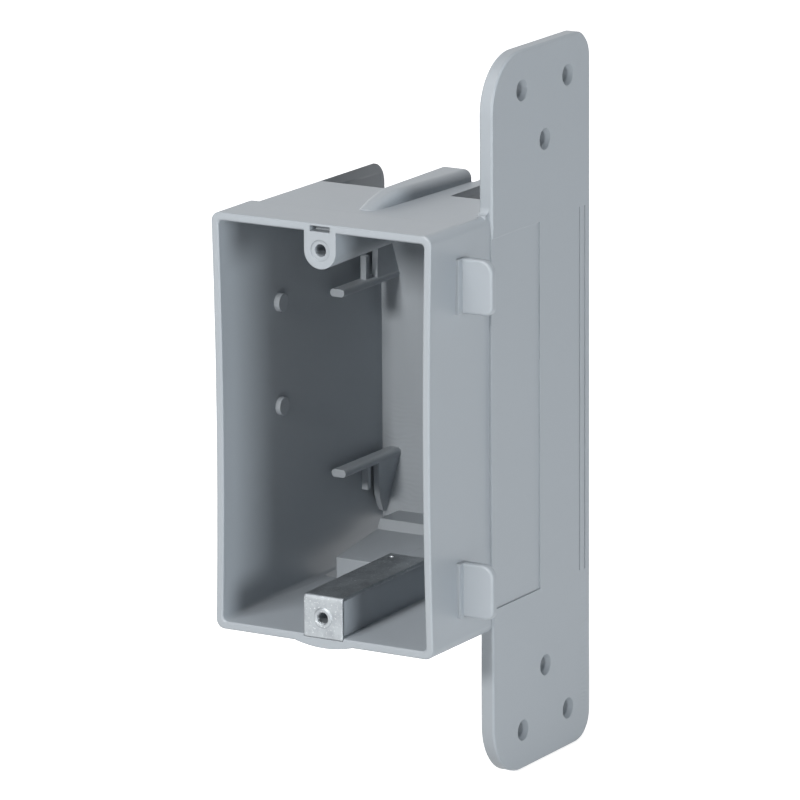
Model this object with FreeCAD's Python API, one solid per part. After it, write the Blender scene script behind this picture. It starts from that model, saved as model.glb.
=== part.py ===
"""Single-gang device box with a side mounting flange.

Millimetres.  +X points to the stud and the flange, +Y runs from the open
front to the rear, +Z is up.  The origin is on the front rim plane, midway
between the two device screws.
"""
import math
import os

import FreeCAD
import Part

# Box shell
box_width = 56.3            # across the collar
box_height = 95.3           # across the collar
screw_inset = 5.98          # outer face of the collar to a device screw, 83.34 between the screws
box_depth = 70.5            # front rim to rear face
wall = 1.8
side_bow = 0.7              # inward bow of the tall sides at the rim
rear_bow = 0.15             # what is left of the bow at the rear
corner_r = 2.1
inner_corner_r = 1.1
collar_depth = 14.2
rim_edge = 0.3              # chamfer on both edges of the front rim
collar_step = 0.5           # the body stands this far inside the collar
draft = 0.4                 # narrowing of the body, each side, front to rear
ear_r = 5.2                 # rear corners of the tall sides

# Side flange
flange_proud = 0.41         # flange face beyond the collar side
flange_thick = 3.35
flange_width = 44.25
flange_rear_gap = 0.2       # flange edge short of the rear face
flange_height = 164.85
flange_front_r = 12.7
flange_rear_r = 6.35
flange_edge = 0.4           # chamfer round both faces
nail_r = 1.8
nail_mouth_r = 2.45
nail_mouth_depth = 1.1
nail_row_inset = 13.3       # front edge of the flange to the front holes
nail_row_gap = 20.65        # front to rear hole of a pair
nail_pair_inset = 9.0       # end of the flange to a pair of holes
nail_single_inset = 21.8    # end of the flange to a single hole
flange_foot_r = 1.6         # hollow fillet from its front edge to the top wall
panel_width = 21.2          # sunken panel behind the front edge of the flange
panel_inset = 5.4           # end of the panel and grooves to the top of the collar
panel_sink = 0.28
groove_at = (39.6, 42.0)    # front edge of the flange to two fine grooves
groove_width = 0.55
groove_depth = 0.22

# Stud tabs on the collar
tab_setback = 12.7
tab_thick = 1.8
tab_reach = 7.9             # beyond the collar side
tab_inset = 7.05            # outer end to the top of the collar
tab_height = 12.4
tab_top_r = 3.0
tab_bottom_r = 1.8
tab_bead_w = 1.5
tab_bead_proud = 0.5
tab_edge_r = 0.6

# Device screw boss and the ribs along the top and the bottom wall
boss_half_w = 4.05
boss_r = 4.15
rib_rise = 0.5              # rib edge nearer its wall at the rear
screw_r = 1.43
screw_depth = 28.0
boss_ring_r = 2.4
boss_ring_depth = 0.25
slot_width = 5.1
slot_height = 1.3
slot_depth = 2.6

# Rear cable entries
shelf_length = 29.6         # inner face of the step to the rear face
knee_length = 11.3          # second, shorter step to the rear face
shelf_knee_run = 1.2
shelf_drop_front = 5.9      # below the inner face of the wall
shelf_drop_knee = 8.4
shelf_drop_rear = 10.7
shelf_half_w = 21.2
entry_half_w = 25.4         # outer side of the entries
strip_half_w = 8.3          # strip of wall left between two entries
strip_short = 4.5           # end of the strip to the rear face
strip_gap_half_w = 5.0

# Ridge on the top and the bottom wall
ridge_half_front = 2.3
ridge_half_rear = 4.4
ridge_height = 2.9          # above the body at the end of its run-in
ridge_toe = 0.2             # height of its blunt front edge
ridge_edge_r = 1.9          # along its two top edges
ridge_fall = 0.5            # lower at the rear than at the end of its run-in
ridge_gap = 5.1             # collar to the start of the ridge
ridge_run_in = 12.0
ridge_run_share = 0.68      # share of the height reached half way along the run-in
ridge_short = 11.7          # end of the ridge to the rear face

# Bulge under the lower rim
bulge_half_w = 7.2
bulge_height = 0.95

# Cable fingers and wall bosses
finger_length = 26.5        # tip to the rear face
finger_x = 22.3
finger_inset = 24.8         # inner face of the top wall to the middle of the finger
finger_width = 3.7
finger_height = 1.85
finger_edge_r = 0.85
fin_thick = 1.5
fin_length = 11.5           # front of the fin to the rear face
fin_line = ((0.0, 0.0), (0.9, 2.2), (4.8, 10.2), (8.1, 14.6))  # back from its front, out from the finger
fin_lean = 15.0             # degrees
fin_inset = 1.0             # fin nearer the middle of the box than its finger
gusset_length = 14.9        # gusset to the rear face
gusset_thick = 1.4
gusset_drop = 6.4
stud_boss_r = 2.1
stud_boss_height = 0.9
stud_boss_y = 24.3
stud_boss_inset = 25.1      # top of the collar to the upper boss
stud_boss_gap = 23.9

# Grounding strap
strap_thick = 0.8
strap_width = 9.9
strap_top = 5.07            # above the lower device screw
strap_bottom = 4.6          # below the lower device screw
strap_short = 3.2           # end of the strap to the step of the shelf
strap_bend_r = 1.1
strap_collar_r = 2.25
strap_collar_proud = 0.3
strap_gap = 0.15            # round the strap's foot in the rim
strap_mark_r = 0.9
strap_mark_x = -3.2
strap_mark_short = 2.9      # middle of the mark hole to the rear end of the strap

# Follow from the sizes above
half_w = box_width / 2
half_h = box_height / 2
body_half_w = half_w - collar_step
body_half_h = half_h - collar_step
screw_z = half_h - screw_inset
flange_x = half_w + flange_proud
inner_h = half_h - wall
panel_half_h = half_h - panel_inset
tab_low = half_h - tab_inset - tab_height
finger_z = inner_h - finger_inset
stud_boss_z = (half_h - stud_boss_inset, half_h - stud_boss_inset - stud_boss_gap)
flange_rear = box_depth - flange_rear_gap
flange_front = flange_rear - flange_width
shelf_front = box_depth - shelf_length
shelf_knee = box_depth - knee_length
strip_end = box_depth - strip_short
ridge_front = collar_depth + ridge_gap
ridge_end = box_depth - ridge_short
finger_front = box_depth - finger_length
fin_front = box_depth - fin_length
gusset_at = box_depth - gusset_length
strap_back = shelf_front - strap_short
strap_mark_y = strap_back - strap_mark_short
nest = 0.6                  # overlap that joins added shapes into a wall


def vec(x, y, z):
    return FreeCAD.Vector(x, y, z)


def block(x0, x1, y0, y1, z0, z1):
    return Part.makeBox(x1 - x0, y1 - y0, z1 - z0, vec(x0, y0, z0))


def bore(radius, start, direction, length):
    return Part.makeCylinder(radius, length, start, direction)


def up_down(shape):
    return shape.mirror(vec(0, 0, 0), vec(0, 0, 1))


def left_right(shape):
    return shape.mirror(vec(0, 0, 0), vec(1, 0, 0))


def prism_yz(points, x0, x1):
    """Solid with the side outline given as (y, z) points, from x0 to x1."""
    loop = [vec(x0, y, z) for y, z in points]
    face = Part.Face(Part.makePolygon(loop + loop[:1]))
    return face.extrude(vec(x1 - x0, 0, 0))


def round_edges(shape, radius, test):
    """Fillet the edges whose two end points both pass the test."""
    edges = []
    for edge in shape.Edges:
        ends = [vertex.Point for vertex in edge.Vertexes]
        if len(ends) == 2 and test(ends[0], ends[1]):
            edges.append(edge)
    return shape.makeFillet(radius, edges)


def along_x(y, z):
    """Test for the edge that runs along X through the point (y, z)."""
    def test(a, b):
        return max(abs(a.y - y), abs(b.y - y), abs(a.z - z), abs(b.z - z)) < 0.01
    return test


def along_y(x, z):
    """Test for the edge that runs along Y through the point (x, z)."""
    def test(a, b):
        return max(abs(a.x - x), abs(b.x - x), abs(a.z - z), abs(b.z - z)) < 0.01
    return test


def bowed_section(w, h, radius, y, bow):
    """Rounded rectangle in the plane y, its tall sides bowed inward."""
    bow_r = (h ** 2 + bow ** 2) / (2 * bow)
    bow_x = w - bow + bow_r
    cz = h - radius
    cx = bow_x - math.sqrt((bow_r + radius) ** 2 - cz ** 2)
    share = radius / (bow_r + radius)
    side_x = cx + share * (bow_x - cx)
    side_z = cz * (1 - share)
    turn = math.atan2(side_z - cz, side_x - cx)
    half_way = (turn + math.pi / 2) / 2
    mid_x = cx + radius * math.cos(half_way)
    mid_z = cz + radius * math.sin(half_way)

    def arc(a, b, c):
        points = [vec(x, y, z) for x, z in (a, b, c)]
        return Part.Arc(*points).toShape()

    def line(a, b):
        return Part.makeLine(vec(a[0], y, a[1]), vec(b[0], y, b[1]))

    return Part.Wire([
        arc((side_x, -side_z), (w - bow, 0), (side_x, side_z)),
        arc((side_x, side_z), (mid_x, mid_z), (cx, h)),
        line((cx, h), (-cx, h)),
        arc((-cx, h), (-mid_x, mid_z), (-side_x, side_z)),
        arc((-side_x, side_z), (bow - w, 0), (-side_x, -side_z)),
        arc((-side_x, -side_z), (-mid_x, -mid_z), (-cx, -h)),
        line((-cx, -h), (cx, -h)),
        arc((cx, -h), (mid_x, -mid_z), (side_x, -side_z)),
    ])


def tapered_tube(w0, h0, y0, w1, h1, y1, radius, bow1):
    front = bowed_section(w0, h0, radius, y0, side_bow)
    rear = bowed_section(w1, h1, radius, y1, bow1)
    return Part.makeLoft([front, rear], True, True)


def outer_shell():
    """Solid collar, cheek and drafted body, the rear corners of the sides rounded.

    The cheek carries the collar's flange side on, without a step, to the flange.
    """
    lip = tapered_tube(half_w - rim_edge, half_h - rim_edge, 0, half_w, half_h, rim_edge,
                       corner_r, side_bow)
    sleeve = tapered_tube(half_w, half_h, rim_edge, half_w, half_h, flange_front + nest,
                          corner_r, side_bow)
    collar = sleeve.common(block(-box_width, box_width, 0, collar_depth, -box_height, box_height))
    in_wall = half_w - (wall + collar_step + side_bow) / 2
    cheek = sleeve.common(block(in_wall, box_width, 0, box_depth, -box_height, box_height))
    rear_w = body_half_w - draft
    rear_h = body_half_h - draft
    body = tapered_tube(body_half_w, body_half_h, rim_edge, rear_w, rear_h, box_depth,
                        corner_r, rear_bow)
    y = box_depth - ear_r
    z = rear_h - ear_r
    corner = block(-box_width, box_width, y, box_depth + 1, z, rear_h + 2)
    rounding = bore(ear_r, vec(-box_width, y, z), vec(1, 0, 0), 2 * box_width)
    trim = corner.cut(rounding)
    return lip.fuse([collar, cheek, body]).cut(trim).cut(up_down(trim))


def cavity():
    """Pocket behind the open front, one wall inside the shell."""
    rear = box_depth - wall
    rear_w = body_half_w - draft - wall
    rear_h = body_half_h - draft - wall
    front_w = half_w - wall
    mouth = tapered_tube(front_w + rim_edge, inner_h + rim_edge, 0, front_w, inner_h, rim_edge,
                         inner_corner_r, side_bow)
    pocket = tapered_tube(front_w, inner_h, 0, rear_w, rear_h, rear, inner_corner_r, rear_bow)
    return pocket.fuse(mouth)


def flange():
    """Flat plate with large front corners, small rear corners and six nail holes."""
    top = flange_height / 2
    plate = block(flange_x - flange_thick, flange_x, flange_front, flange_rear, -top, top)
    for z in (top, -top):
        plate = round_edges(plate, flange_front_r, along_x(flange_front, z))
        plate = round_edges(plate, flange_rear_r, along_x(flange_rear, z))
    rims = [edge for edge in plate.Edges if edge.BoundBox.XLength < 0.01]
    plate = plate.makeChamfer(flange_edge, rims)
    low = body_half_h - draft - nest
    high = half_h + flange_foot_r
    front = flange_front - flange_foot_r
    x0 = flange_x - flange_thick + flange_edge
    x1 = half_w - flange_edge
    foot = block(x0, x1, front, flange_front + nest, low, high)
    hollow = bore(flange_foot_r, vec(x0 - 1, front, high), vec(1, 0, 0), x1 - x0 + 2)
    return plate.fuse(foot.cut(hollow))


def nail_hole(y, z):
    """Through hole with a shallow tapered mouth on the outer face."""
    shank = bore(nail_r, vec(flange_x + 1, y, z), vec(-1, 0, 0), flange_thick + 4)
    mouth = Part.makeCone(nail_mouth_r, nail_r, nail_mouth_depth, vec(flange_x, y, z), vec(-1, 0, 0))
    return shank.fuse(mouth)


def nail_holes():
    holes = []
    row = flange_front + nail_row_inset
    for side in (1, -1):
        pair_z = side * (flange_height / 2 - nail_pair_inset)
        single_z = side * (flange_height / 2 - nail_single_inset)
        holes.append(nail_hole(row, pair_z))
        holes.append(nail_hole(row + nail_row_gap, pair_z))
        holes.append(nail_hole(row + nail_row_gap / 2, single_z))
    return holes


def flange_panels():
    """Shallow panel and two fine grooves sunk in the flange face over the box."""
    out = flange_x + 1
    rear = flange_front + panel_width
    cuts = [block(flange_x - panel_sink, out, flange_front - 1, rear, -panel_half_h, panel_half_h)]
    for inset in groove_at:
        y = flange_front + inset
        cuts.append(block(flange_x - groove_depth, out, y - groove_width, y,
                          -panel_half_h, panel_half_h))
    return cuts


def stud_tab(low):
    """Tab that stops against the face of the stud, with a bead at its root."""
    x0 = body_half_w - side_bow - nest
    x1 = half_w + tab_reach
    high = low + tab_height
    tab = block(x0, x1, tab_setback, tab_setback + tab_thick, low, high)
    tab = round_edges(tab, tab_top_r, along_y(x1, high))
    tab = round_edges(tab, tab_bottom_r, along_y(x1, low))
    outline = [edge for edge in tab.Edges
               if edge.BoundBox.YMax < tab_setback + 0.01 and edge.BoundBox.XMax > x0 + 1]
    tab = tab.makeFillet(tab_edge_r, outline)
    bead = block(x0, half_w + tab_bead_proud, tab_setback - tab_bead_w, tab_setback + nest, low, high)
    return tab.fuse(bead)


def stud_tabs():
    return [stud_tab(tab_low), stud_tab(-tab_low - tab_height)]


def boss_section(w, bottom, y):
    """Half-round-ended section that hangs from the top wall."""
    top = inner_h + nest
    centre = bottom + w
    loop = [
        Part.makeLine(vec(-w, y, centre), vec(-w, y, top)),
        Part.makeLine(vec(-w, y, top), vec(w, y, top)),
        Part.makeLine(vec(w, y, top), vec(w, y, centre)),
        Part.Arc(vec(w, y, centre), vec(0, y, bottom), vec(-w, y, centre)).toShape(),
    ]
    return Part.Wire(loop)


def upper_rib():
    """Device screw boss drawn back as a rib to the step of the shelf."""
    outline = boss_section(boss_half_w, screw_z - boss_r, 0)
    return Part.Face(outline).extrude(vec(0, shelf_front + nest, rib_rise))


def lower_rib():
    """Flat-topped rib that carries the strap."""
    top = -screw_z + strap_top - strap_thick
    bottom = -inner_h - nest
    rear = shelf_front + nest
    slope = rib_rise / strap_back
    top_rear = top + slope * (rear - strap_thick)
    points = [(strap_thick, bottom), (strap_thick, top), (rear, top_rear), (rear, bottom)]
    rib = prism_yz(points, -boss_half_w, boss_half_w)
    return round_edges(rib, strap_bend_r - strap_thick, along_x(strap_thick, top))


def screw_holes():
    upper = bore(screw_r, vec(0, -1, screw_z), vec(0, 1, 0), screw_depth + 1)
    lower = bore(screw_r, vec(0, -1, -screw_z), vec(0, 1, 0), screw_depth + 1)
    ring = bore(boss_ring_r, vec(0, -1, screw_z), vec(0, 1, 0), boss_ring_depth + 1)
    return [upper, lower, ring]


def rim_slot():
    """Narrow slot in the rim above the upper boss."""
    low = inner_h
    return block(-slot_width / 2, slot_width / 2, -1, slot_depth, low, low + slot_height)


def strap_seat():
    """Recess in the lower rim that takes the foot of the strap."""
    side = strap_width / 2 + strap_gap
    foot = -screw_z - strap_bottom - strap_gap
    return block(-side, side, -1, strap_thick, foot, -inner_h + nest)


def shelf_line(offset):
    """Side line of a shelf, (y, z) from the wall to the rear, moved outward."""
    points = [
        (shelf_front, inner_h - shelf_drop_front),
        (shelf_knee, inner_h - shelf_drop_knee),
        (shelf_knee + shelf_knee_run, inner_h - shelf_drop_rear),
        (box_depth, inner_h - shelf_drop_rear),
    ]
    return [(min(y + offset, box_depth), z + offset) for y, z in points]


def shelf():
    """Stepped rear part of the top wall, set in to make room for cables."""
    lower = shelf_line(0)
    upper = shelf_line(wall)
    top = inner_h + nest
    loop = [(shelf_front, top)] + lower + upper[::-1] + [(shelf_front + wall, top)]
    return prism_yz(loop, -shelf_half_w, shelf_half_w)


def entry_cuts():
    """Openings beside the strip, behind it, and over the shelf at the rear."""
    front = shelf_front + wall
    back = box_depth + 1
    upper = shelf_line(wall)
    low = upper[-1][1]
    top = half_h + 1
    side = block(strip_half_w, entry_half_w, front, back, low, top)
    behind = block(-strip_half_w - 0.01, strip_half_w + 0.01, strip_end, back, low, top)
    middle = block(-strip_gap_half_w, strip_gap_half_w, ridge_end, strip_end + 1, low, top)
    return [side, left_right(side), behind, middle]


def centre_web():
    """Web between the strip and the shelf."""
    low = inner_h - shelf_drop_knee
    high = body_half_h - draft - wall
    front = block(-boss_half_w, boss_half_w, shelf_front + wall - nest, ridge_end, low, inner_h + nest)
    rear = block(-boss_half_w, boss_half_w, ridge_end - nest, strip_end, low, high)
    return front.fuse(rear)


def ridge_profile(base):
    """Side outline of the ridge: blunt front, gentle run-in, slow fall to the rear."""
    toe = body_half_h + ridge_toe
    crest = body_half_h + ridge_height
    run_end = ridge_front + ridge_run_in
    half_run = (ridge_front + run_end) / 2
    corners = [vec(0, ridge_front, base), vec(0, ridge_front, toe), vec(0, run_end, crest),
               vec(0, ridge_end, crest - ridge_fall), vec(0, ridge_end, base)]
    knee = vec(0, half_run, toe + ridge_run_share * (crest - toe))
    sides = [
        Part.makeLine(corners[0], corners[1]),
        Part.Arc(corners[1], knee, corners[2]).toShape(),
        Part.makeLine(corners[2], corners[3]),
        Part.makeLine(corners[3], corners[4]),
        Part.makeLine(corners[4], corners[0]),
    ]
    return Part.Face(Part.Wire(sides))


def ridge_plan(base):
    """Outline of the ridge from above, wider to the rear."""
    loop = [vec(ridge_half_front, ridge_front - 1, base), vec(ridge_half_rear, ridge_end + 1, base),
            vec(-ridge_half_rear, ridge_end + 1, base), vec(-ridge_half_front, ridge_front - 1, base)]
    return Part.Face(Part.makePolygon(loop + loop[:1]))


def ridge():
    """Bar along the top wall with its two long top edges rounded."""
    base = inner_h - 2 * ridge_edge_r
    profile = ridge_profile(base)
    profile.translate(vec(-box_width, 0, 0))
    plan = ridge_plan(base).extrude(vec(0, 0, box_height))
    bar = profile.extrude(vec(2 * box_width, 0, 0)).common(plan)

    def is_long(box):
        return box.ZMin > inner_h and box.YLength > 1 and box.XLength < ridge_half_rear

    long_edges = [edge for edge in bar.Edges if is_long(edge.BoundBox)]
    return bar.makeFillet(ridge_edge_r, long_edges)


def rim_bulge():
    """Shallow rounded bulge under the lower rim, as deep as the collar."""
    foot = -half_h + nest
    arc = Part.Arc(vec(-bulge_half_w, 0, -half_h), vec(0, 0, -half_h - bulge_height),
                   vec(bulge_half_w, 0, -half_h)).toShape()
    loop = [
        arc,
        Part.makeLine(vec(bulge_half_w, 0, -half_h), vec(bulge_half_w, 0, foot)),
        Part.makeLine(vec(bulge_half_w, 0, foot), vec(-bulge_half_w, 0, foot)),
        Part.makeLine(vec(-bulge_half_w, 0, foot), vec(-bulge_half_w, 0, -half_h)),
    ]
    return Part.Face(Part.Wire(loop)).extrude(vec(0, collar_depth, 0))


def finger():
    """Upper right cable finger: rounded bar with a leaning fin and a gusset."""
    rear = box_depth - wall + nest
    r = finger_height / 2
    inner = finger_x - finger_width / 2
    outer = finger_x + finger_width / 2
    bar = block(inner, outer, finger_front, rear, finger_z - r, finger_z + r)
    for x in (inner, outer):
        for z in (finger_z - r, finger_z + r):
            bar = round_edges(bar, finger_edge_r, along_y(x, z))
    fin_x = finger_x - fin_inset
    side = fin_thick / 2
    fin_outline = [(fin_front + back, finger_z + along) for back, along in fin_line]
    fin_outline += [(rear, finger_z + fin_line[-1][1]), (rear, finger_z)]
    fin = prism_yz(fin_outline, fin_x - side, fin_x + side)
    fin.rotate(vec(fin_x, 0, finger_z), vec(0, 1, 0), fin_lean)
    gusset = block(finger_x - side, finger_x + side, gusset_at, gusset_at + gusset_thick,
                   finger_z, finger_z + gusset_drop)
    return bar.fuse([fin, gusset])


def fingers():
    upper_right = finger()
    upper_left = left_right(upper_right)
    return [upper_right, upper_left, up_down(upper_right), up_down(upper_left)]


def wall_bosses():
    """Two low round bosses on the inner face of the left wall."""
    share = stud_boss_y / box_depth
    bow = side_bow + share * (rear_bow - side_bow)
    middle_of_wall = body_half_w - share * draft - bow - wall / 2
    x0 = -middle_of_wall
    height = stud_boss_height + wall / 2
    return [bore(stud_boss_r, vec(x0, stud_boss_y, z), vec(1, 0, 0), height) for z in stud_boss_z]


def box_body():
    outer = outer_shell().fuse([flange(), ridge(), up_down(ridge()), rim_bulge()] + stud_tabs())
    hollow = outer.cut(cavity())
    for cut in entry_cuts():
        hollow = hollow.cut(cut).cut(up_down(cut))
    inside = [shelf(), up_down(shelf()), centre_web(), up_down(centre_web()), upper_rib(), lower_rib()]
    body = hollow.fuse(inside + fingers() + wall_bosses())
    for cut in screw_holes() + nail_holes() + flange_panels() + [rim_slot(), strap_seat()]:
        body = body.cut(cut)
    return body.removeSplitter()


def strap_side(thick_in):
    """Outer or inner side line of the folded strap, as (y, z) points."""
    top = -screw_z + strap_top - thick_in
    slope = rib_rise / strap_back
    top_rear = top + slope * (strap_back - thick_in)
    return [(thick_in, -screw_z - strap_bottom), (thick_in, top), (strap_back, top_rear)]


def ground_strap():
    """Folded strap: front leg over the lower boss, long leg back along the rib."""
    outer = strap_side(0)
    inner = strap_side(strap_thick)
    half = strap_width / 2
    fold = prism_yz(outer + inner[::-1], -half, half)
    fold = round_edges(fold, strap_bend_r, along_x(*outer[1]))
    collar = bore(strap_collar_r, vec(0, -strap_collar_proud, -screw_z), vec(0, 1, 0),
                  strap_collar_proud + strap_thick / 4)
    hole = bore(screw_r, vec(0, -2, -screw_z), vec(0, 1, 0), 4)
    mark = bore(strap_mark_r, vec(strap_mark_x, strap_mark_y, -screw_z), vec(0, 0, 1), 3 * strap_top)
    return fold.fuse(collar).cut(hole).cut(mark).removeSplitter()


def main():
    os.makedirs("parts", exist_ok=True)
    for name, shape in (("box_body", box_body()), ("ground_strap", ground_strap())):
        if len(shape.Solids) != 1 or not shape.isValid():
            raise ValueError(name + " is not one valid solid")
        shape.Solids[0].exportStep("parts/" + name + ".step")


main()
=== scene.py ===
"""Looks of a single-gang device box: moulded grey plastic and a zinc-plated strap."""

import math

import bpy
from mathutils import Matrix, Vector


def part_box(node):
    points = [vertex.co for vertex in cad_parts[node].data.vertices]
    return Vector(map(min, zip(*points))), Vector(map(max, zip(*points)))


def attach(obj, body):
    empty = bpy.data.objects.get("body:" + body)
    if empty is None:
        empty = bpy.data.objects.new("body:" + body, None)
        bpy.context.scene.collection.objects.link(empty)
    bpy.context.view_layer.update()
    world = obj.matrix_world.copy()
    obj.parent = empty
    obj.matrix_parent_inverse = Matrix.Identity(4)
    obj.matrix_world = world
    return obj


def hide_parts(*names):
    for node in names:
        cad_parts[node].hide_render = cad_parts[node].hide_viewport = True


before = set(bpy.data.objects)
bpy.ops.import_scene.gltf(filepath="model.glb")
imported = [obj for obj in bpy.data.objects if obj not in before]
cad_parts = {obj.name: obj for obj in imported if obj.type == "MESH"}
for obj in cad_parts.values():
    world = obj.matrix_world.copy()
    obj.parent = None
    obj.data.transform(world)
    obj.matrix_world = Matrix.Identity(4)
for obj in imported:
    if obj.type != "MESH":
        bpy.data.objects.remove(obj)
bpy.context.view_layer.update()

bl_info = {
    "name": "Device box looks",
    "version": (1, 0, 0),
    "blender": (4, 5, 0),
    "location": "View3D > Sidebar > Device box",
    "description": "Finishes, screw thread, camera and light for a moulded device box",
    "category": "Object",
}

FLOAT = "NodeSocketFloat"
COLOUR = "NodeSocketColor"
VECTOR = "NodeSocketVector"

ZINC = "zinc-plated steel"    # the material of the strap and of its thread

SENSOR_WIDTH_MM = 36
FLOOR_GAP = 0.0005            # the floor lies this far under the part's lowest point
FLOOR_HALF_SIZE = 3.0
LAMP_AIM = Vector((0, 0.03, 0))


class BoxPlasticSettings(bpy.types.PropertyGroup):
    colour: bpy.props.FloatVectorProperty(
        name="Plastic colour", description="Base colour of the moulded plastic",
        subtype="COLOR", size=3, min=0, max=1, default=(0.32, 0.351, 0.383))
    roughness: bpy.props.FloatProperty(
        name="Roughness", description="Roughness of the plastic between its marks",
        subtype="FACTOR", min=0.05, max=1, default=0.44)
    grain: bpy.props.FloatProperty(
        name="Grain size", description="Size of one grain of the mould texture",
        subtype="DISTANCE", unit="LENGTH", min=0.0001, max=0.01, default=0.00055)
    grain_height: bpy.props.FloatProperty(
        name="Grain height", description="Height of the mould texture",
        subtype="DISTANCE", unit="LENGTH", min=0, max=0.001, default=0.00002)
    edge: bpy.props.FloatProperty(
        name="Edge softness", description="Radius of the softened look of the moulded edges",
        subtype="DISTANCE", unit="LENGTH", min=0, max=0.002, default=0.0003)
    ripple: bpy.props.FloatProperty(
        name="Ripple height", description="Height of the flow ripples low on the back wall",
        subtype="DISTANCE", unit="LENGTH", min=0, max=0.001, default=0.00003)


class StrapSettings(bpy.types.PropertyGroup):
    colour: bpy.props.FloatVectorProperty(
        name="Zinc colour", description="Base colour of the zinc plate",
        subtype="COLOR", size=3, min=0, max=1, default=(0.34, 0.365, 0.385))
    roughness: bpy.props.FloatProperty(
        name="Roughness", description="Roughness of the plated steel",
        subtype="FACTOR", min=0.05, max=1, default=0.44)
    line_gap: bpy.props.FloatProperty(
        name="Rolling lines", description="Distance between the fine rolling lines",
        subtype="DISTANCE", unit="LENGTH", min=0.0001, max=0.01, default=0.0006)
    edge: bpy.props.FloatProperty(
        name="Broken edge", description="Width of the rounding along the cut edges",
        subtype="DISTANCE", unit="LENGTH", min=0.00002, max=0.0003, default=0.00012)
    bend: bpy.props.FloatProperty(
        name="Bend softness", description="Radius of the softened look of the steel's bends and holes",
        subtype="DISTANCE", unit="LENGTH", min=0, max=0.002, default=0.0005)
    speck: bpy.props.FloatProperty(
        name="Speck size", description="Size of the bright specks in the plate",
        subtype="DISTANCE", unit="LENGTH", min=0.0001, max=0.005, default=0.0005)


class ThreadSettings(bpy.types.PropertyGroup):
    centre: bpy.props.FloatVectorProperty(
        name="Start", description="Middle of the thread's front end",
        subtype="TRANSLATION", unit="LENGTH", size=3, default=(0, -0.0001, -0.04167))
    radius: bpy.props.FloatProperty(
        name="Hole radius", description="Radius of the tapped hole",
        subtype="DISTANCE", unit="LENGTH", min=0.0008, max=0.004, default=0.00143)
    length: bpy.props.FloatProperty(
        name="Length", description="Length of the thread along the hole",
        subtype="DISTANCE", unit="LENGTH", min=0.0003, max=0.01, default=0.00088)
    pitch: bpy.props.FloatProperty(
        name="Pitch", description="Distance from one turn to the next",
        subtype="DISTANCE", unit="LENGTH", min=0.0002, max=0.002, default=0.0004)
    ridge: bpy.props.FloatProperty(
        name="Ridge radius", description="Half the height of the thread's ridge",
        subtype="DISTANCE", unit="LENGTH", min=0.00002, max=0.0006, default=0.00014)


class StageSettings(bpy.types.PropertyGroup):
    azimuth: bpy.props.FloatProperty(
        name="Azimuth", description="Angle of the camera to the right of the open front",
        subtype="ANGLE", default=math.radians(30.66))
    elevation: bpy.props.FloatProperty(
        name="Elevation", description="Angle of the camera above the middle of the box",
        subtype="ANGLE", default=math.radians(13.62))
    roll: bpy.props.FloatProperty(
        name="Roll", description="Turn of the camera about its own axis",
        subtype="ANGLE", default=math.radians(-0.36))
    distance: bpy.props.FloatProperty(
        name="Distance", description="Camera to the point it looks at",
        subtype="DISTANCE", unit="LENGTH", min=0.2, max=10, default=1.5610)
    target: bpy.props.FloatVectorProperty(
        name="Target", description="Point that the camera looks at",
        subtype="TRANSLATION", unit="LENGTH", size=3, default=(0.00237, 0.030, 0.00203))
    lens: bpy.props.FloatProperty(
        name="Lens", description="Focal length in millimetres on a 36 mm sensor",
        min=10, max=800, default=314.2)
    background: bpy.props.FloatVectorProperty(
        name="Background", description="Colour of the floor and of what is behind the box",
        subtype="COLOR", size=3, min=0, max=1, default=(1.0, 1.0, 1.0))
    glow: bpy.props.FloatProperty(
        name="Floor glow", description="Part of the floor's white that shadows don't take away",
        subtype="FACTOR", min=0, max=1, default=0.86)


# Shader helpers


def new_material(name):
    material = bpy.data.materials.new(name)
    material.use_nodes = True
    tree = material.node_tree
    return material, tree, tree.nodes["Principled BSDF"]


def add_node(tree, kind, inputs=(), **settings):
    """Adds a node, sets its settings, then sets or links its inputs by name or number."""
    node = tree.nodes.new(kind)
    for key, value in settings.items():
        setattr(node, key, value)
    for key, value in dict(inputs).items():
        socket = node.inputs[key]
        if isinstance(value, bpy.types.NodeSocket):
            tree.links.new(value, socket)
        else:
            socket.default_value = value
    return node


def compute(tree, operation, *values):
    """Result of a maths node; each value is a number or a socket."""
    return add_node(tree, "ShaderNodeMath", dict(enumerate(values)), operation=operation).outputs[0]


def noise(tree, place, scale, detail, roughness):
    return add_node(tree, "ShaderNodeTexNoise", {
        "Vector": place, "Scale": scale, "Detail": detail, "Roughness": roughness}).outputs["Fac"]


def ramp(tree, value, low, high):
    """0 where the value is at low, 1 where it is at high, clamped past both."""
    return add_node(tree, "ShaderNodeMapRange", {
        "Value": value, "From Min": low, "From Max": high}).outputs[0]


def blend_colours(tree, share, first, second):
    return add_node(tree, "ShaderNodeMix", {0: share, 6: first, 7: second}, data_type="RGBA").outputs[2]


def new_group(name, inputs, outputs):
    """Shader group with named sockets: inputs (name, type, default), outputs (name, type)."""
    tree = bpy.data.node_groups.new(name, "ShaderNodeTree")
    for label, kind, value in inputs:
        socket = tree.interface.new_socket(name=label, in_out="INPUT", socket_type=kind)
        socket.default_value = value
    for label, kind in outputs:
        tree.interface.new_socket(name=label, in_out="OUTPUT", socket_type=kind)
    source = tree.nodes.new("NodeGroupInput")
    sink = tree.nodes.new("NodeGroupOutput")
    return tree, source.outputs, sink.inputs


def place_group(tree, name, build, inputs):
    """Node for the group of this name, which is built when it isn't there yet."""
    group = bpy.data.node_groups.get(name) or build(name)
    return add_node(tree, "ShaderNodeGroup", inputs, node_tree=group)


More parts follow.
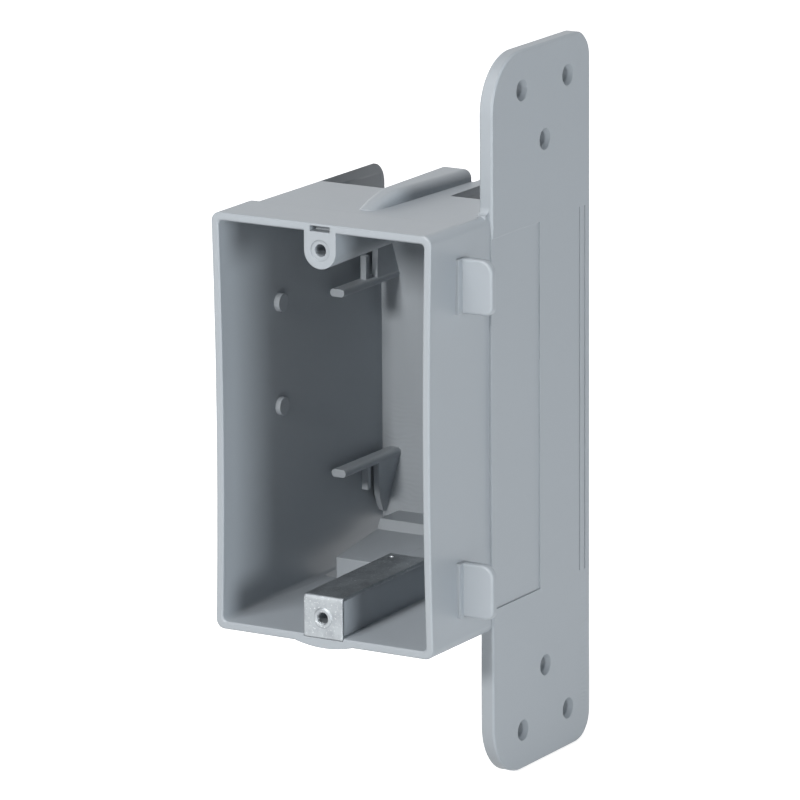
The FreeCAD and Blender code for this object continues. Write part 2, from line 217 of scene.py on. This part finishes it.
def tone_group(name):
    """Slow and fine changes of a finish's colour and roughness."""
    tree, get, put = new_group(
        name,
        [("Position", VECTOR, (0, 0, 0)), ("Colour", COLOUR, (0.5, 0.5, 0.5, 1)),
         ("Cloud size", FLOAT, 0.03), ("Variation", FLOAT, 0.05),
         ("Roughness", FLOAT, 0.4), ("Roughness spread", FLOAT, 0.08)],
        [("Colour", COLOUR), ("Roughness", FLOAT)])
    fine_per_cloud = 14.0
    fine_share = 0.35
    noise_middle = 0.5
    scale = compute(tree, "DIVIDE", 1.0, get["Cloud size"])
    fine_scale = compute(tree, "MULTIPLY", scale, fine_per_cloud)
    cloud = noise(tree, get["Position"], scale, detail=5.0, roughness=0.55)
    fine = noise(tree, get["Position"], fine_scale, detail=3.0, roughness=0.6)
    both = add_node(tree, "ShaderNodeMix", {0: fine_share, 2: cloud, 3: fine}, data_type="FLOAT")
    change = compute(tree, "SUBTRACT", both.outputs[0], noise_middle)
    tone = compute(tree, "MULTIPLY_ADD", change, get["Variation"], 1.0)
    toned = add_node(tree, "ShaderNodeVectorMath", {0: get["Colour"], "Scale": tone}, operation="SCALE")
    rough = compute(tree, "MULTIPLY_ADD", change, get["Roughness spread"], get["Roughness"])
    tree.links.new(toned.outputs[0], put["Colour"])
    tree.links.new(rough, put["Roughness"])
    return tree


def skin_group(name):
    """Height of a moulded or plated skin: fine grain with slow waviness."""
    tree, get, put = new_group(
        name,
        [("Position", VECTOR, (0, 0, 0)), ("Grain size", FLOAT, 0.0006), ("Grain height", FLOAT, 0.00002),
         ("Wave size", FLOAT, 0.02), ("Wave height", FLOAT, 0.00004)],
        [("Height", FLOAT)])
    grain_scale = compute(tree, "DIVIDE", 1.0, get["Grain size"])
    wave_scale = compute(tree, "DIVIDE", 1.0, get["Wave size"])
    grain = noise(tree, get["Position"], grain_scale, detail=2.0, roughness=0.5)
    wave = noise(tree, get["Position"], wave_scale, detail=1.0, roughness=0.4)
    waves = compute(tree, "MULTIPLY", wave, get["Wave height"])
    total = compute(tree, "MULTIPLY_ADD", grain, get["Grain height"], waves)
    tree.links.new(total, put["Height"])
    return tree


def ripple_group(name):
    """Height of the faint level ripples that the melt leaves low on the back wall."""
    tree, get, put = new_group(
        name,
        [("Position", VECTOR, (0, 0, 0)), ("Start depth", FLOAT, 0.066), ("Pitch", FLOAT, 0.0012),
         ("Height", FLOAT, 0.00002)],
        [("Height", FLOAT)])
    ripples_begin, ripples_full = -0.004, -0.014
    patches_per_metre = 160.0
    wobble_height = 0.004
    parts = add_node(tree, "ShaderNodeSeparateXYZ", {0: get["Position"]}).outputs
    past = compute(tree, "GREATER_THAN", parts["Y"], get["Start depth"])
    low = ramp(tree, parts["Z"], ripples_begin, ripples_full)
    patchy = noise(tree, get["Position"], patches_per_metre, detail=1.0, roughness=0.5)
    wobble = compute(tree, "MULTIPLY_ADD", patchy, wobble_height, parts["Z"])
    turns = compute(tree, "DIVIDE", 2 * math.pi, get["Pitch"])
    height = compute(tree, "SINE", compute(tree, "MULTIPLY", wobble, turns))
    for factor in (past, low, patchy, get["Height"]):
        height = compute(tree, "MULTIPLY", height, factor)
    tree.links.new(height, put["Height"])
    return tree


def speck_group(name):
    """Masks of small bright specks and of larger dull patches."""
    tree, get, put = new_group(
        name,
        [("Position", VECTOR, (0, 0, 0)), ("Speck size", FLOAT, 0.0005), ("Patch size", FLOAT, 0.004)],
        [("Specks", FLOAT), ("Patches", FLOAT)])
    for size, mask, low, high in (
            ("Speck size", "Specks", 0.60, 0.74),
            ("Patch size", "Patches", 0.42, 0.68)):
        scale = compute(tree, "DIVIDE", 1.0, get[size])
        spots = noise(tree, get["Position"], scale, detail=2.0, roughness=0.6)
        tree.links.new(ramp(tree, spots, low, high), put[mask])
    return tree


def skin_normal(tree, height, strength, edge_radius):
    """Normal with the height on it and, in the shading alone, softened edges."""
    edges = add_node(tree, "ShaderNodeBevel", {"Radius": edge_radius}, samples=8)
    bump = add_node(tree, "ShaderNodeBump", {
        "Strength": strength, "Distance": 1.0, "Height": height, "Normal": edges.outputs["Normal"]})
    return bump.outputs["Normal"]


def plastic_material(settings):
    material, tree, shader = new_material("grey moulded plastic")
    place = add_node(tree, "ShaderNodeTexCoord").outputs["Object"]
    tone = place_group(tree, "tone and roughness", tone_group, {
        "Position": place, "Colour": (*settings.colour, 1), "Cloud size": 0.022, "Variation": 0.07,
        "Roughness": settings.roughness, "Roughness spread": 0.16})
    skin = place_group(tree, "skin height", skin_group, {
        "Position": place, "Grain size": settings.grain, "Grain height": settings.grain_height,
        "Wave size": 0.016, "Wave height": 0.00005})
    ripples = place_group(tree, "flow ripples", ripple_group, {
        "Position": place, "Start depth": 0.066, "Pitch": 0.0012, "Height": settings.ripple})
    height = compute(tree, "ADD", skin.outputs["Height"], ripples.outputs["Height"])
    tree.links.new(tone.outputs["Colour"], shader.inputs["Base Color"])
    tree.links.new(tone.outputs["Roughness"], shader.inputs["Roughness"])
    normal = skin_normal(tree, height, strength=0.6, edge_radius=settings.edge)
    tree.links.new(normal, shader.inputs["Normal"])
    return material


def zinc_material(settings):
    material, tree, shader = new_material(ZINC)
    drawn_out = (1.0, 0.12, 0.12)
    dull_zinc = (0.27, 0.29, 0.31, 1)
    bright_zinc = (0.62, 0.65, 0.67, 1)
    speck_height = 0.00002
    place = add_node(tree, "ShaderNodeTexCoord").outputs["Object"]
    along = add_node(tree, "ShaderNodeMapping", {"Vector": place, "Scale": drawn_out}).outputs[0]
    marks = place_group(tree, "specks and patches", speck_group, {
        "Position": place, "Speck size": settings.speck, "Patch size": 0.0035})
    tone = place_group(tree, "tone and roughness", tone_group, {
        "Position": along, "Colour": (*settings.colour, 1), "Cloud size": 0.003, "Variation": 0.5,
        "Roughness": settings.roughness, "Roughness spread": 0.25})
    patched = blend_colours(tree, marks.outputs["Patches"], tone.outputs["Colour"], dull_zinc)
    colour = blend_colours(tree, marks.outputs["Specks"], patched, bright_zinc)
    skin = place_group(tree, "skin height", skin_group, {
        "Position": along, "Grain size": settings.line_gap, "Grain height": 0.000012,
        "Wave size": 0.004, "Wave height": 0.00003})
    height = compute(tree, "MULTIPLY_ADD", marks.outputs["Specks"], speck_height, skin.outputs["Height"])
    tree.links.new(colour, shader.inputs["Base Color"])
    tree.links.new(tone.outputs["Roughness"], shader.inputs["Roughness"])
    normal = skin_normal(tree, height, strength=0.8, edge_radius=settings.bend)
    tree.links.new(normal, shader.inputs["Normal"])
    shader.inputs["Metallic"].default_value = 1.0
    return material


# Mesh helpers


def new_object(name, data):
    obj = bpy.data.objects.new(name, data)
    bpy.context.scene.collection.objects.link(obj)
    return obj


def assign(obj, material):
    obj.data.materials.clear()
    obj.data.materials.append(material)


def thread_tree(material):
    """Helical ridge along the Y axis, closed at both ends."""
    tree = bpy.data.node_groups.new("tapped thread", "GeometryNodeTree")
    for label, kind in (("Start", VECTOR), ("Radius", FLOAT), ("Length", FLOAT), ("Pitch", FLOAT),
                        ("Ridge", FLOAT)):
        tree.interface.new_socket(name=label, in_out="INPUT", socket_type=kind)
    tree.interface.new_socket(name="Geometry", in_out="OUTPUT", socket_type="NodeSocketGeometry")
    get = tree.nodes.new("NodeGroupInput").outputs
    sink = tree.nodes.new("NodeGroupOutput").inputs
    turns = compute(tree, "DIVIDE", get["Length"], get["Pitch"])
    helix = add_node(tree, "GeometryNodeCurveSpiral", {
        "Resolution": 28, "Rotations": turns, "Start Radius": get["Radius"],
        "End Radius": get["Radius"], "Height": get["Length"]})
    outline = add_node(tree, "GeometryNodeCurvePrimitiveCircle", {
        "Resolution": 6, "Radius": get["Ridge"]})
    sweep = add_node(tree, "GeometryNodeCurveToMesh", {
        "Curve": helix.outputs[0], "Profile Curve": outline.outputs[0], "Fill Caps": True})
    placed = add_node(tree, "GeometryNodeTransform", {
        "Geometry": sweep.outputs[0], "Translation": get["Start"], "Rotation": (-math.pi / 2, 0, 0)})
    real = add_node(tree, "GeometryNodeRealizeInstances", {"Geometry": placed.outputs[0]})
    painted = add_node(tree, "GeometryNodeSetMaterial", {
        "Geometry": real.outputs[0], "Material": material})
    tree.links.new(painted.outputs[0], sink["Geometry"])
    return tree


def run_tree(name, tree, values):
    """Object whose mesh comes from a node tree with its named inputs set."""
    obj = new_object(name, bpy.data.meshes.new(name))
    modifier = obj.modifiers.new(name, "NODES")
    modifier.node_group = tree
    for item in tree.interface.items_tree:
        if item.in_out == "INPUT":
            modifier[item.identifier] = values[item.name]
    return obj


def keep_mesh(obj, body):
    """Turns an object with live modifiers into a plain mesh that rides on a body."""
    graph = bpy.context.evaluated_depsgraph_get()
    mesh = bpy.data.meshes.new_from_object(obj.evaluated_get(graph))
    obj.modifiers.clear()
    obj.data = mesh
    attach(obj, body)


# Operators


class FINISH_OT_box_body(bpy.types.Operator):
    """Give the moulded box its grey plastic"""
    bl_idname = "device_box.finish_body"
    bl_label = "Finish moulded box"

    def execute(self, context):
        assign(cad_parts["box_body"], plastic_material(context.scene.box_plastic))
        return {"FINISHED"}


class FINISH_OT_strap(bpy.types.Operator):
    """Give the grounding strap broken edges and its zinc plate"""
    bl_idname = "device_box.finish_strap"
    bl_label = "Finish grounding strap"

    def execute(self, context):
        settings = context.scene.box_strap
        strap = new_object("strap_plated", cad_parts["ground_strap"].data.copy())
        assign(strap, zinc_material(settings))
        bevel = strap.modifiers.new("broken edges", "BEVEL")
        bevel.width = settings.edge
        bevel.segments = 2
        bevel.limit_method = "ANGLE"
        bevel.angle_limit = math.radians(40)
        bevel.use_clamp_overlap = False
        keep_mesh(strap, "root")
        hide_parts("ground_strap")
        return {"FINISHED"}


class BUILD_OT_thread(bpy.types.Operator):
    """Add a fine helical ridge to the strap's screw hole"""
    bl_idname = "device_box.thread"
    bl_label = "Tap the strap"

    def execute(self, context):
        settings = context.scene.box_thread
        thread = run_tree("strap_thread", thread_tree(bpy.data.materials[ZINC]), {
            "Start": tuple(settings.centre), "Radius": settings.radius, "Length": settings.length,
            "Pitch": settings.pitch, "Ridge": settings.ridge})
        keep_mesh(thread, "root")
        return {"FINISHED"}


class STAGE_OT_box(bpy.types.Operator):
    """Set the camera, the floor, the backdrop and the lamps"""
    bl_idname = "device_box.stage"
    bl_label = "Set the stage"

    def execute(self, context):
        settings = context.scene.box_stage
        place_camera(context.scene, settings)
        build_floor(settings)
        build_world(context.scene, settings)
        build_lamps()
        context.scene.view_settings.view_transform = "Standard"
        return {"FINISHED"}


def place_camera(scene, settings):
    """Camera that looks at the target from the azimuth and elevation, and is then rolled."""
    az, el, roll = settings.azimuth, settings.elevation, settings.roll
    forward = Vector((-math.sin(az) * math.cos(el), math.cos(az) * math.cos(el), -math.sin(el)))
    right = Vector((math.cos(az), math.sin(az), 0))
    up = right.cross(forward)
    turned_right = math.cos(roll) * right + math.sin(roll) * up
    turned_up = -math.sin(roll) * right + math.cos(roll) * up
    data = bpy.data.cameras.new("camera")
    data.lens = settings.lens
    data.sensor_width = SENSOR_WIDTH_MM
    data.clip_start = 0.05
    camera = new_object("camera", data)
    turn = Matrix((turned_right, turned_up, -forward)).transposed().to_4x4()
    place = Vector(settings.target) - forward * settings.distance
    camera.matrix_world = Matrix.Translation(place) @ turn
    scene.camera = camera


def seen_or_mirrored(tree):
    """1 for rays from the camera, in reflections and through clear surfaces."""
    path = add_node(tree, "ShaderNodeLightPath")
    either = compute(tree, "MAXIMUM", path.outputs["Is Camera Ray"], path.outputs["Is Glossy Ray"])
    return compute(tree, "MAXIMUM", either, path.outputs["Is Transmission Ray"])


def plain_backdrop_material(settings):
    """Pale floor that glows near white to the camera and in reflections, and keeps shadows."""
    material, tree, shader = new_material("plain backdrop")
    shader.inputs["Base Color"].default_value = (0.8, 0.8, 0.8, 1)
    shader.inputs["Roughness"].default_value = 0.9
    shader.inputs["Specular IOR Level"].default_value = 0.0
    glow = add_node(tree, "ShaderNodeEmission", {
        "Color": (*settings.background, 1),
        "Strength": compute(tree, "MULTIPLY", seen_or_mirrored(tree), settings.glow)})
    both = add_node(tree, "ShaderNodeAddShader", {0: shader.outputs[0], 1: glow.outputs[0]})
    tree.links.new(both.outputs[0], tree.nodes["Material Output"].inputs["Surface"])
    return material


def build_floor(settings):
    """Square floor just under the part."""
    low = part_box("box_body")[0].z - FLOOR_GAP
    half = FLOOR_HALF_SIZE
    mesh = bpy.data.meshes.new("floor")
    mesh.from_pydata([(-half, -half, low), (half, -half, low), (half, half, low), (-half, half, low)],
                     [], [(0, 1, 2, 3)])
    floor = new_object("floor", mesh)
    assign(floor, plain_backdrop_material(settings))


def build_world(scene, settings):
    """Faint fill light that the camera and reflections see as the background colour."""
    world = bpy.data.worlds.new("studio")
    world.use_nodes = True
    tree = world.node_tree
    back = tree.nodes["Background"]
    back.inputs["Color"].default_value = (0.85, 0.90, 1.0, 1)
    back.inputs["Strength"].default_value = 0.04
    plain = add_node(tree, "ShaderNodeBackground", {
        "Color": (*settings.background, 1), "Strength": 1.0})
    mix = add_node(tree, "ShaderNodeMixShader", {
        0: seen_or_mirrored(tree), 1: back.outputs[0], 2: plain.outputs[0]})
    tree.links.new(mix.outputs[0], tree.nodes["World Output"].inputs["Surface"])
    scene.world = world


def build_lamps():
    """Soft square lamps: name, place, size, power, colour; all look at the box."""
    rows = (
        ("key lamp", (0.0, -1.370, 0.538), 0.2, 14.4, (1.0, 0.98, 0.95)),
        ("side lamp", (1.447, -0.358, 0.079), 0.45, 14.4, (0.94, 0.98, 1.0)),
        ("top lamp", (-0.194, -0.694, 1.299), 0.45, 11.6, (1.0, 1.0, 1.0)),
        ("rear lamp", (-1.325, 0.512, 0.513), 0.45, 5.0, (1.0, 1.0, 1.0)),
    )
    for name, place, size, power, colour in rows:
        data = bpy.data.lights.new(name, "AREA")
        data.shape = "SQUARE"
        data.size = size
        data.energy = power
        data.color = colour
        lamp = new_object(name, data)
        lamp.location = place
        lamp.rotation_euler = (LAMP_AIM - Vector(place)).to_track_quat("-Z", "Y").to_euler()


class VIEW3D_PT_device_box(bpy.types.Panel):
    bl_label = "Device box"
    bl_idname = "VIEW3D_PT_device_box"
    bl_space_type = "VIEW_3D"
    bl_region_type = "UI"
    bl_category = "Device box"

    def draw(self, context):
        for operator in OPERATORS:
            self.layout.operator(operator.bl_idname)
        for name, settings in SETTINGS:
            block = getattr(context.scene, name)
            self.layout.separator()
            for key in settings.__annotations__:
                self.layout.prop(block, key)


SETTINGS = (
    ("box_plastic", BoxPlasticSettings),
    ("box_strap", StrapSettings),
    ("box_thread", ThreadSettings),
    ("box_stage", StageSettings),
)
OPERATORS = (FINISH_OT_box_body, FINISH_OT_strap, BUILD_OT_thread, STAGE_OT_box)


def register():
    for name, settings in SETTINGS:
        bpy.utils.register_class(settings)
        setattr(bpy.types.Scene, name, bpy.props.PointerProperty(type=settings))
    for cls in (*OPERATORS, VIEW3D_PT_device_box):
        bpy.utils.register_class(cls)


def unregister():
    for cls in (VIEW3D_PT_device_box, *reversed(OPERATORS)):
        bpy.utils.unregister_class(cls)
    for name, settings in reversed(SETTINGS):
        delattr(bpy.types.Scene, name)
        bpy.utils.unregister_class(settings)


def main():
    register()
    bpy.ops.device_box.finish_body()
    bpy.ops.device_box.finish_strap()
    bpy.ops.device_box.thread()
    bpy.ops.device_box.stage()


if __name__ == "__main__":
    main()
